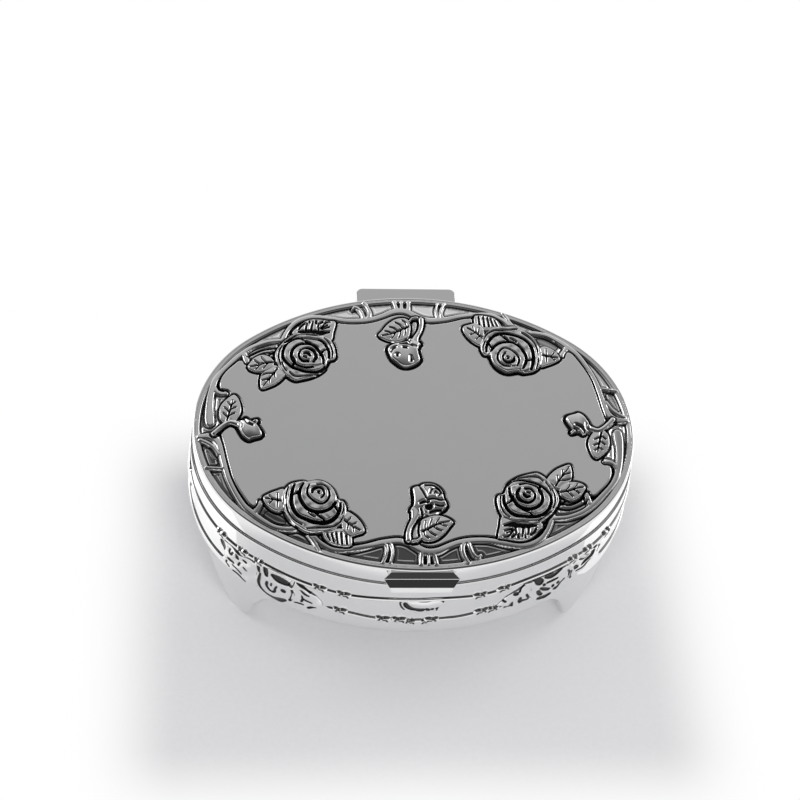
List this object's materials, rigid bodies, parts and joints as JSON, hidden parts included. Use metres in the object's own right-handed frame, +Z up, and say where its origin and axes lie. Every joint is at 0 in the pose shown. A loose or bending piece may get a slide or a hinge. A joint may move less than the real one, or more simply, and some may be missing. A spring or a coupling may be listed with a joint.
{
  "type": "trinket box",
  "caption": "Oval silver-plated trinket box on four small feet, with a hinged lid, a bare mirror plate framed by roses and vines, and a thumb catch.",
  "frame": {"origin": "on the ground plane, under the middle of the whole part with its catch and hinge", "axes": "+X along the length of the oval, to the right when the catch faces the viewer; +Y from the catch to the hinge; +Z up"},
  "size_m": [0.0942, 0.0758, 0.0412],
  "materials": {
    "polished_silver": "mirror-polished silver plate",
    "relief_silver": "polished silver relief with darkened hollows",
    "pin": "drawn steel wire",
    "lining": "dark blue velvet"
  },
  "bodies": {
    "base": {"base_shell": "polished_silver", "floor_pad": "lining", "foot_front_left": "polished_silver", "foot_front_right": "polished_silver", "foot_rear_left": "polished_silver", "foot_rear_right": "polished_silver", "hinge_base_bracket": "polished_silver", "hinge_pin": "pin", "lower_border_rib": "polished_silver", "seam_lip": "polished_silver", "upper_border_rib": "polished_silver", "wall_bud_front": "relief_silver", "wall_bud_left": "relief_silver", "wall_bud_rear": "relief_silver", "wall_bud_right": "relief_silver", "wall_lining": "lining", "wall_rose_front_left": "relief_silver", "wall_rose_front_right": "relief_silver", "wall_rose_rear_left": "relief_silver", "wall_rose_rear_right": "relief_silver"},
    "lid": {"hinge_lid_leaf": "polished_silver", "lid_bud_front": "relief_silver", "lid_bud_left": "relief_silver", "lid_bud_rear": "relief_silver", "lid_bud_right": "relief_silver", "lid_pad": "lining", "lid_rim_bead": "polished_silver", "lid_rose_front_left": "relief_silver", "lid_rose_front_right": "relief_silver", "lid_rose_rear_left": "relief_silver", "lid_rose_rear_right": "relief_silver", "lid_shell": "polished_silver", "lid_vine_border": "relief_silver", "thumb_catch": "polished_silver"}
  },
  "joints": [
    {"name": "lid_hinge", "type": "hinge", "parent": "base", "child": "lid", "pos_m": [0, 0.03526, 0.0335], "axis": [-1, 0, 0], "range_deg": [0, 100]}
  ]
}
